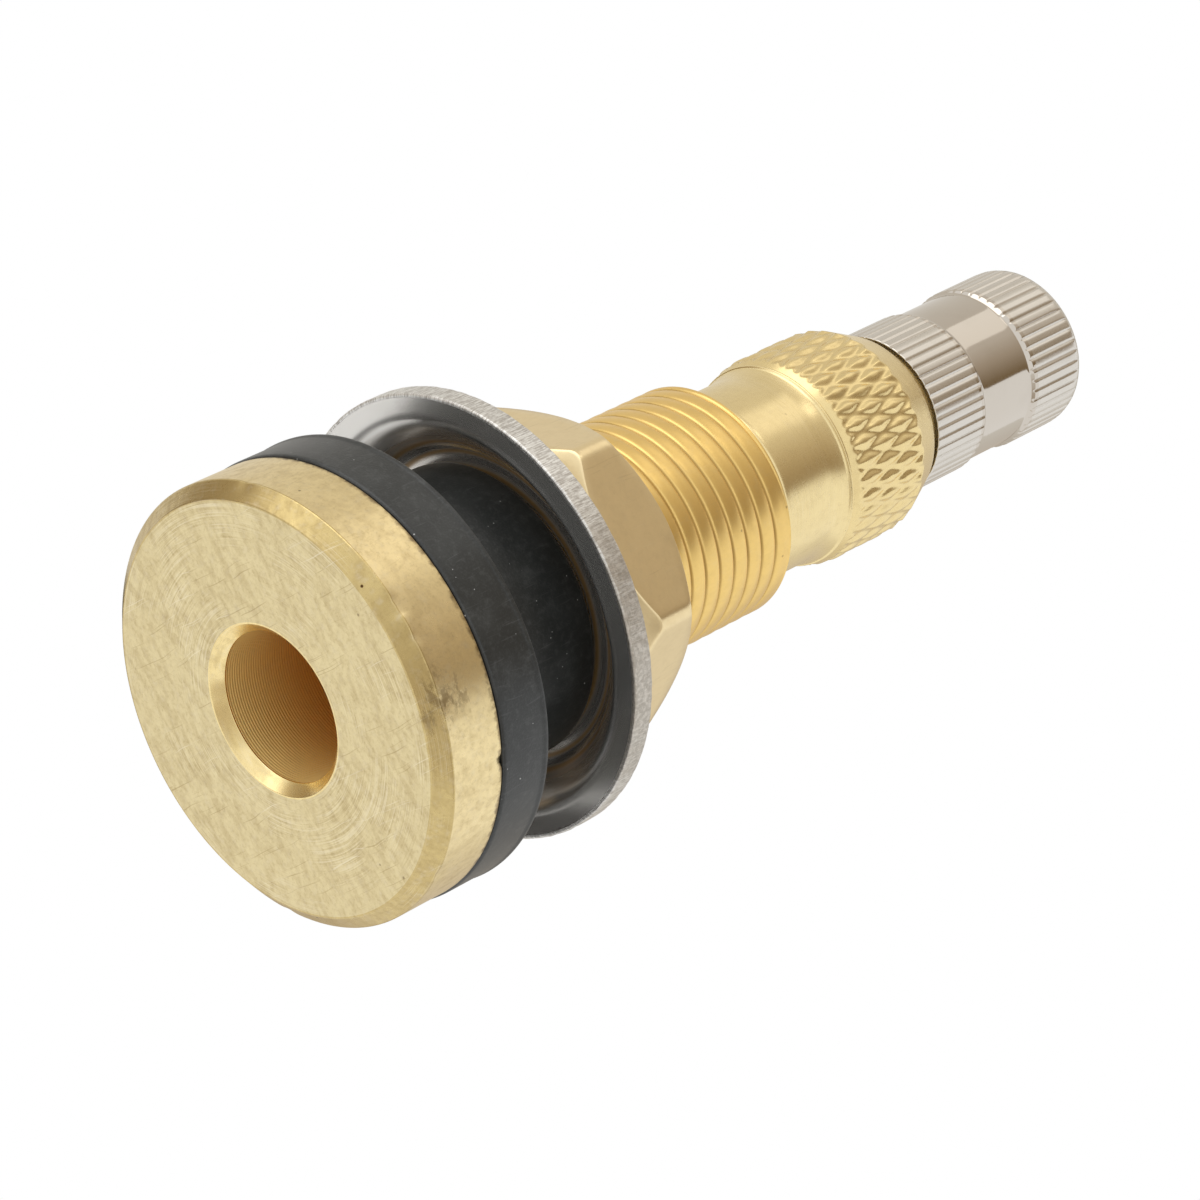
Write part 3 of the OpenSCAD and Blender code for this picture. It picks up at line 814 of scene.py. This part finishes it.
def make_stem():
    flange_r, foot, top = reach("stem")
    ring = around(STEM_SEGMENTS)
    face_r = flange_r - CHAMFER_W
    face_middle = (BORE_R + face_r) / 2
    thread_end = SHOULDER_Z - SHANK_CHAMFER
    bore_step = SHOULDER_Z - (BORE_R - NECK_BORE_R)
    lip_top = BORE_CHAMFER + PATCH_LAP
    lip_r = BORE_R + BORE_CHAMFER
    side_foot = CHAMFER_H + PATCH_LAP
    bore_lip = soften([(BORE_R, lip_top, 0), (BORE_R, BORE_CHAMFER, 0.03), (lip_r, foot, 0.03),
                       (lip_r + PATCH_LAP, foot, 0)])
    face = [(lip_r + PATCH_LAP, foot), (face_r - PATCH_LAP, foot)]
    chamfer = soften([(face_r - PATCH_LAP, foot, 0), (face_r, foot, 0.05),
                      (flange_r, CHAMFER_H, 0.06), (flange_r, side_foot, 0)])
    side = soften([(flange_r, side_foot, 0), (flange_r, FLANGE_T, 0.08), (face_middle, FLANGE_T, 0)])
    back = [(face_middle, FLANGE_T), (SHANK_R, FLANGE_T), (SHANK_R, THREAD_START)]
    neck_low = SHOULDER_Z + NECK_RELIEF
    neck_high = top - NECK_CHAMFER
    shoulder = soften([(SHANK_R, thread_end, 0), (SHANK_R - SHANK_CHAMFER, SHOULDER_Z, 0.1),
                       (NECK_R, SHOULDER_Z, 0.05), (NECK_R, neck_low, 0)])
    rim = soften([(NECK_R, neck_high, 0), (NECK_R - NECK_CHAMFER, top, 0.05), (NECK_BORE_R, top, 0.05),
                  (NECK_BORE_R, neck_high, 0)])
    bore = soften([(NECK_BORE_R, neck_high, 0), (NECK_BORE_R, SHOULDER_Z, 0.05),
                   (BORE_R, bore_step, 0.05), (BORE_R, lip_top, 0)])
    thread = threaded(SHANK_R, SHANK_PITCH, SHANK_PROFILE, THREAD_START, thread_end, SHANK_FADE, ring)
    neck = threaded(NECK_R, NECK_PITCH, NECK_PROFILE, neck_low, neck_high, NECK_FADE, ring)
    patches = [(turned(bore_lip, ring), lit_lip_brass),
               (turned(face, ring), faced_brass),
               (nicked(turned(spaced(chamfer, CHAMFER_STEP), ring), NICKS), shaded_edge_brass),
               (nicked(turned(spaced(side, SIDE_STEP), ring), NICKS), side_brass),
               (turned(back, ring), thread_brass),
               (thread, thread_brass),
               (turned(shoulder, ring), band_brass),
               (neck, core_brass),
               (turned(rim, ring), core_brass),
               (turned(bore, ring), bored_brass)]
    return place(welded("turned_stem", patches), "stem", "stem")


make_stem()

# %% [markdown]
# ## The rubber grommet
# The grommet is moulded in one piece: a thick flange that seals on the wheel rim and a sleeve that
# fills the rim hole. Its rear edge keeps the thin lip where the two halves of the mould met, which
# catches the light. A lathe outline with that lip in it is all it needs.

# %% Grommet
GROMMET_SEGMENTS = 240
GROMMET_TOP = 7.1
SLEEVE_R = 8.0
SLEEVE_BORE_R = 6.55
MOULD_LIP = 0.06
MOULD_WAVE = 0.03
LIP_WIDTH = 0.18
RUBBER_EDGE = 0.25
SLEEVE_FILLET = 0.8
SLEEVE_EDGE = 0.4


def make_grommet():
    outer_r, foot, top = reach("rubber_grommet")
    side_r = outer_r - MOULD_LIP
    ring = around(GROMMET_SEGMENTS)
    middle = (foot + top) / 2
    outline = soften([(SLEEVE_BORE_R, middle, 0), (SLEEVE_BORE_R, foot, 0.1),
                      (side_r, foot, RUBBER_EDGE), (side_r, GROMMET_TOP - 2 * LIP_WIDTH, 0.1),
                      (outer_r, GROMMET_TOP - LIP_WIDTH, 0.05), (outer_r, GROMMET_TOP, 0.1),
                      (SLEEVE_R, GROMMET_TOP, SLEEVE_FILLET), (SLEEVE_R, top, SLEEVE_EDGE),
                      (SLEEVE_BORE_R, top, 0.1), (SLEEVE_BORE_R, middle, 0)], steps=6)
    radius, height, angle = turned(spaced(outline, 0.5), ring)
    outside = radius > (SLEEVE_R + SLEEVE_BORE_R) / 2
    slack = MOULD_WAVE * (ripple(angle, (2, 3, 5, 9), 11) - 2)
    radius = radius + np.where(outside, slack, 0)
    grommet = welded("moulded_grommet", [((radius, height, angle), grommet_rubber)])
    return place(grommet, "stem", "rubber_grommet")


make_grommet()

# %% [markdown]
# ## The dished washer
# A press shears a disc from plated sheet and bells it out in one stroke. The faces stay mirror
# bright, and the sheared edge is torn and a little uneven. The dish is half a cosine from the rim
# to the flat top. The edge gets its own finish and a small ripple in the mesh, so that its
# outline isn't a perfect circle.

# %% Washer
WASHER_SEGMENTS = 400
WASHER_T = 1.25
WASHER_RISE = 2.15
WASHER_HOLE_R = 6.65
WASHER_FLAT_R = 8.1
WASHER_RIM_W = 1.1
EDGE_ROLL = 0.22
EDGE_WEAR = 0.009
EDGE_STEP = 0.12
DISH_ROWS = 34
HOLE_LAP = 0.1


def dish(r, rim_r):
    """Height of the dish above its rim: 0 at the rim and the full rise on the flat top."""
    share = np.clip((r - WASHER_FLAT_R) / (rim_r - WASHER_FLAT_R), 0, 1)
    return WASHER_RISE * (1 + np.cos(math.pi * share)) / 2


def make_washer():
    outer_r, rim_z, top = reach("dished_washer")
    ring = around(WASHER_SEGMENTS)
    rim_r = outer_r - WASHER_RIM_W
    radii = np.linspace(WASHER_HOLE_R + HOLE_LAP, outer_r - EDGE_ROLL, DISH_ROWS)
    under = np.stack([radii, rim_z + dish(radii, rim_r)], axis=1)
    over = (under + (0, WASHER_T))[::-1]
    edge = soften([(*under[-1], 0), (outer_r, rim_z, 0.15), (outer_r, rim_z + WASHER_T, 0.10),
                   (*over[0], 0)])
    radius, height, angle = turned(spaced(edge, EDGE_STEP), ring)
    torn = ripple(angle, (7, 13, 29, 53, 71, 97), 5) + ripple(angle + 2 * height, (41, 83, 113), 8)
    inner = np.clip((radius - radii[-1]) / EDGE_ROLL, 0, 1)
    radius = radius + EDGE_WEAR * inner * np.minimum(torn - 1.0, 0)
    hole = soften([(*over[-1], 0), (WASHER_HOLE_R, top, 0.06), (WASHER_HOLE_R, top - WASHER_T, 0.06),
                   (*under[0], 0)])
    patches = [(turned(under, ring), dish_nickel),
               ((radius, height, angle), torn_nickel),
               (turned(over, ring), washer_nickel),
               (turned(hole, ring), washer_nickel)]
    return place(welded("pressed_washer", patches), "washer", "dished_washer")


make_washer()

# %% [markdown]
# ## The hexagon nut
# A hexagon with soft corners is cut by a cone at both ends, which leaves the curved chamfer lines
# that every nut has. A Boolean with a cone would give the shape with untidy triangles. Working out
# where the cone meets each point of the hexagon gives the same edge in clean rows.

# %% Nut
NUT_AF = 16.8
NUT_CORNER_R = 1.0
NUT_FACE_INSET = 0.35
NUT_CHAMFER_SLOPE = math.tan(math.radians(42))
NUT_BORE_R = 6.65
NUT_EDGE = 0.035
NUT_LEAD_IN = 0.35
NUT_LEAD_H = 0.3
NUT_FACE_LAP = 0.08
FLAT_POINTS = 22
CORNER_POINTS = 8


def hexagon():
    """Angle and radius of points round the hexagon, closed, with one corner on +X."""
    corner_at = (NUT_AF / 2 - NUT_CORNER_R) / math.cos(math.pi / 6)
    spots = []
    for k in range(6):
        middle = k * math.pi / 3
        centre = corner_at * np.array((math.cos(middle), math.sin(middle)))
        for t in np.linspace(-math.pi / 6, math.pi / 6, CORNER_POINTS + 1):
            turn = middle + t
            spots.append(centre + NUT_CORNER_R * np.array((math.cos(turn), math.sin(turn))))
        following = (k + 1) * math.pi / 3
        ahead = corner_at * np.array((math.cos(following), math.sin(following)))
        leaving = following - math.pi / 6
        meet = ahead + NUT_CORNER_R * np.array((math.cos(leaving), math.sin(leaving)))
        last = spots[-1]
        spots.extend(last + (meet - last) * j / FLAT_POINTS for j in range(1, FLAT_POINTS))
    spots = np.array(spots + [spots[0]])
    angle = np.unwrap(np.arctan2(spots[:, 1], spots[:, 0]))
    return angle, np.hypot(spots[:, 0], spots[:, 1])


def make_nut():
    _, foot, top = reach("hex_nut")
    angles, hex_r = hexagon()
    face_r = NUT_AF / 2 - NUT_FACE_INSET
    drop = np.maximum(0, hex_r - face_r) * NUT_CHAMFER_SLOPE
    inner_edge = NUT_BORE_R + NUT_LEAD_IN
    half = (foot + top) / 2
    same = np.ones_like(hex_r)

    def half_nut(sign, end):
        """Rows from the middle of the flat to the middle of the bore. Sign 1 is up, -1 down."""
        rows = [(hex_r, half * same)]
        for share in (0.35, 0.7):
            rows.append((hex_r, half + (end - sign * drop - half) * share))
        rows.append((hex_r, end - sign * (drop + NUT_EDGE)))
        rows.append((hex_r - 0.3 * NUT_EDGE, end - sign * (drop + 0.3 * NUT_EDGE)))
        for share in (0.08, 0.5, 0.92):
            rows.append((hex_r + (face_r - hex_r) * share, end - sign * drop * (1 - share)))
        rows.append((np.minimum(hex_r, face_r) - NUT_FACE_LAP, end * same))
        rows.append((inner_edge * same, end * same))
        rows.append((NUT_BORE_R * same, (end - sign * NUT_LEAD_H) * same))
        rows.append((NUT_BORE_R * same, half * same))
        radius = np.array([r for r, _ in rows])
        height = np.array([z for _, z in rows])
        return radius, height, np.broadcast_to(angles, radius.shape)

    patches = [(half_nut(1, top), nut_brass), (half_nut(-1, foot), nut_brass)]
    return place(welded("brass_nut", patches, sharp_angle=24), "nut", "hex_nut")


make_nut()

# %% [markdown]
# ## The core housing
# This turning screws over the stem and holds the valve core. Its lower end is a smooth band, then
# comes a diamond knurl for the fingers, a bevel and the small thread for the cap. A knurl is two
# sets of grooves that cross: one climbs with the angle and the other falls. Where the bevel's cone
# is smaller than the knurl it cuts the diamonds short, as the lathe tool does.

# %% Housing
KNURL_COUNT = 36
KNURL_PERIOD = 3.02
KNURL_DEPTH = 0.17
KNURL_SHARPNESS = 2.0
HOUSING_SEGMENTS = KNURL_COUNT * 10
BAND_R = 5.4
BAND_EDGE = 0.6
FLARE_LEN = 1.4
FLARE_PROUD = 0.25
KNURL_Z = 37.1
KNURL_LEAD = 0.9
BEAD_R = 0.09
BEVEL_Z = 42.65
BEVEL_TOP = 45.1
BEVEL_R = 4.9
KNURL_RUN_OUT = 0.36
KNURL_STEP = 0.08
BEVEL_STEP = 0.6
MOUTH_R = 3.8
MOUTH_CHAMFER = 0.4
MOUTH_RELIEF = 0.5
MOUTH_FADE = 0.3
MOUTH_PITCH = 0.794
MOUTH_PROFILE = [(0.0, 0.36), (0.12, 0.33), (0.38, 0.04), (0.5, 0.0), (0.62, 0.04), (0.88, 0.33)]
CHAMBER_R = 4.675
CHAMBER_TOP = 40.48
RELIEF_R = 2.8
RELIEF_TOP = 44.68
PASS_R = 2.0
SEAL_Z = 49.91
SEAL_TOP = 51.31
SEAL_R = 2.2
PLUG_BORE_R = 2.65


def knurled(grid, outer_r):
    """Cuts the two crossing sets of round grooves into a grid, never above the radius it had."""
    radius, height, angle = grid
    round_share = KNURL_COUNT * angle / TURN
    climb = (height - KNURL_Z) / KNURL_PERIOD
    land = np.ones_like(radius)
    for share in (round_share + climb, round_share - climb):
        groove = (0.5 + 0.5 * np.cos(TURN * share)) ** KNURL_SHARPNESS
        land = land * (1 - groove)
    return np.minimum(radius, outer_r - KNURL_DEPTH * (1 - land)), height, angle


def make_housing():
    outer_r, foot, top = reach("core_housing")
    ring = around(HOUSING_SEGMENTS)
    mouth_low = BEVEL_TOP + MOUTH_RELIEF
    mouth_high = top - MOUTH_CHAMFER
    chamber_seam = foot + 1.0
    flare_start = KNURL_Z - FLARE_LEN
    flare = [(BAND_R + FLARE_PROUD * u**2, flare_start + FLARE_LEN * u, 0)
             for u in np.linspace(0, 1, 9)]
    bead = [(BAND_R + FLARE_PROUD + BEAD_R * math.sin(t), KNURL_Z + BEAD_R * (1 - math.cos(t)), 0)
            for t in np.linspace(0, math.pi, 9)]
    run_out_r = outer_r + (BEVEL_R - outer_r) * KNURL_RUN_OUT
    run_out_z = BEVEL_Z + (BEVEL_TOP - BEVEL_Z) * KNURL_RUN_OUT
    band = soften([(CHAMBER_R, chamber_seam, 0), (CHAMBER_R, foot, 0.05), (BAND_R, foot, BAND_EDGE),
                   *flare[:-1], *bead], 5)
    knurl = soften([bead[-1], (outer_r, KNURL_Z + KNURL_LEAD, 0.2), (outer_r, BEVEL_Z, 0.05),
                    (run_out_r, run_out_z, 0)], 3)
    bevel = soften([(run_out_r, run_out_z, 0), (BEVEL_R, BEVEL_TOP, 0.15),
                    (MOUTH_R, BEVEL_TOP, 0.2), (MOUTH_R, mouth_low, 0)])
    mouth = soften([(MOUTH_R, mouth_high, 0), (MOUTH_R - MOUTH_CHAMFER, top, 0.06),
                    (PLUG_BORE_R, top, 0.06), (PLUG_BORE_R, SEAL_TOP, 0.05), (SEAL_R, SEAL_Z, 0.03),
                    (PASS_R, SEAL_Z, 0.03), (PASS_R, RELIEF_TOP + RELIEF_R - PASS_R, 0.03),
                    (RELIEF_R, RELIEF_TOP, 0.03), (RELIEF_R, CHAMBER_TOP, 0.03),
                    (CHAMBER_R, CHAMBER_TOP, 0.05), (CHAMBER_R, chamber_seam, 0)], 2)
    thread = threaded(MOUTH_R, MOUTH_PITCH, MOUTH_PROFILE, mouth_low, mouth_high, MOUTH_FADE, ring)
    patches = [(turned(band, ring), band_brass),
               (knurled(turned(spaced(knurl, KNURL_STEP), ring), outer_r), knurl_brass),
               (turned(spaced(bevel, BEVEL_STEP), ring), knurl_brass),
               (thread, core_brass),
               (turned(mouth, ring), core_brass)]
    housing = welded("knurled_housing", patches, sharp_angle=70)
    return place(housing, "housing", "core_housing")


make_housing()

# %% [markdown]
# ## The cap
# A nickel-plated screw cap with two fluted bands and a plain waist between them. Each flute is a
# shallow groove with a flat land beside it, so the columns of the grid are put where the groove
# starts and ends. The outline of the cap is turned over the flutes and wins where it is smaller,
# which fades them out at the waist and the rounded top edge.

# %% Cap
FLUTE_COUNT = 48
FLUTE_DEPTH = 0.075
# Shares of one flute's pitch and how deep the groove is there
FLUTE_SHAPE = [(0.0, 0.06), (0.10, 0.01), (0.27, 0.0), (0.44, 0.01), (0.54, 0.06), (0.64, 0.35),
               (0.72, 0.85), (0.77, 1.0), (0.82, 0.85), (0.90, 0.35)]
CAP_BORE_R = 3.95
CAP_ROOF = 57.48
CAP_LEAD_IN = 0.3
CAP_STEP = 0.35
WAIST_R = 4.5
WAIST_Z = 50.0
WAIST_TOP = 54.03
WAIST_TAPER = 0.25
CAP_EDGE_R = 0.9


def make_cap():
    crest_r, foot, top = reach("cap")
    shares, depths = np.array(FLUTE_SHAPE).T
    flutes = np.arange(FLUTE_COUNT)[:, None]
    angles = np.append(((flutes + shares) / FLUTE_COUNT * TURN).ravel(), TURN)
    groove = np.append(np.tile(depths, FLUTE_COUNT), depths[0])
    low_end = WAIST_Z - 2 * WAIST_TAPER
    top_start = WAIST_TOP + 2 * WAIST_TAPER
    lead_r = CAP_BORE_R + CAP_LEAD_IN
    low_band = soften([(lead_r, foot, 0), (crest_r, foot, 0.10), (crest_r, low_end, 0)], 6)
    waist = soften([(crest_r, low_end, 0), (crest_r, WAIST_Z - WAIST_TAPER, 0.08),
                    (WAIST_R, WAIST_Z, 0.12), (WAIST_R, WAIST_TOP, 0.12),
                    (crest_r, WAIST_TOP + WAIST_TAPER, 0.06), (crest_r, top_start, 0)], 6)
    top_band = soften([(crest_r, top_start, 0), (crest_r, top, CAP_EDGE_R), (crest_r / 2, top, 0)], 6)
    fluted = []
    for outline, finish in ((low_band, plated_nickel), (waist, waist_nickel), (top_band, plated_nickel)):
        radius, height, angle = turned(spaced(outline, CAP_STEP), angles)
        radius = np.minimum(radius, crest_r - FLUTE_DEPTH * groove)
        fluted.append(((radius, height, angle), finish))
    end = turned([(crest_r / 2, top), (0, top)], angles)
    inside = soften([(0, CAP_ROOF, 0), (CAP_BORE_R, CAP_ROOF, 0.15),
                     (CAP_BORE_R, foot + CAP_LEAD_IN, 0.05), (lead_r, foot, 0)], 3)
    patches = [*fluted, (end, plated_nickel), (turned(inside, angles), plated_nickel)]
    return place(welded("fluted_cap", patches, sharp_angle=30), "cap", "cap")


make_cap()

# %% [markdown]
# ## The valve core and the gaskets
# Under the cap sits the core: a plug, a barrel with a white seal, a pin with a cup and a rubber
# seat. Most of it hides in the housing and is seen only when the cap is off. The CAD solids of the
# plug, barrel, pin and cup have the right shape, so they keep it and get a finish.

# %% Finish for the pieces that stay as CAD
CAD_FINISHES = {"core_plug": core_brass, "core_barrel": core_brass, "core_pin": core_brass,
                "seat_cup": core_brass, "barrel_seal": seal_plastic, "seat_seal": gasket_rubber,
                "housing_gasket": gasket_rubber, "cap_gasket": gasket_rubber}

for node, finish in CAD_FINISHES.items():
    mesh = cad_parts[node].data
    mesh.materials.clear()
    mesh.materials.append(finish)
    mesh.set_sharp_from_angle(angle=math.radians(30))
print("CAD pieces with a finish:", len(CAD_FINISHES))

# %% [markdown]
# ## The spring
# The pin's return spring is a round wire wound in an even coil. A curve with a round bevel would
# do, but a mesh can be flattened when the pin is pressed, so the wire is swept: a ring of
# points is carried along the helix.

# %% Spring
WIRE_R = 0.13
COIL_R = 0.82
COIL_TURNS = 10
RINGS_PER_TURN = 36
WIRE_SIDES = 12


def make_spring():
    _, low, high = reach("core_spring")
    climb = high - low - 2 * WIRE_R
    steps = np.linspace(0, 1, COIL_TURNS * RINGS_PER_TURN + 1)[:, None]
    sides = np.linspace(0, TURN, WIRE_SIDES + 1)
    radius = COIL_R + WIRE_R * np.cos(sides) + 0 * steps
    height = low + WIRE_R + climb * steps + WIRE_R * np.sin(sides)
    angle = TURN * COIL_TURNS * steps + 0 * sides
    tube = (radius, height, angle)
    first = tuple(np.stack([part[0], np.full_like(part[0], part[0].mean())]) for part in tube)
    last = tuple(np.stack([part[-1], np.full_like(part[-1], part[-1].mean())]) for part in tube)
    spring = welded("coil_spring", [(tube, spring_steel), (first, spring_steel), (last, spring_steel)])
    place(spring, "housing", "core_spring")
    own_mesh(spring)


make_spring()
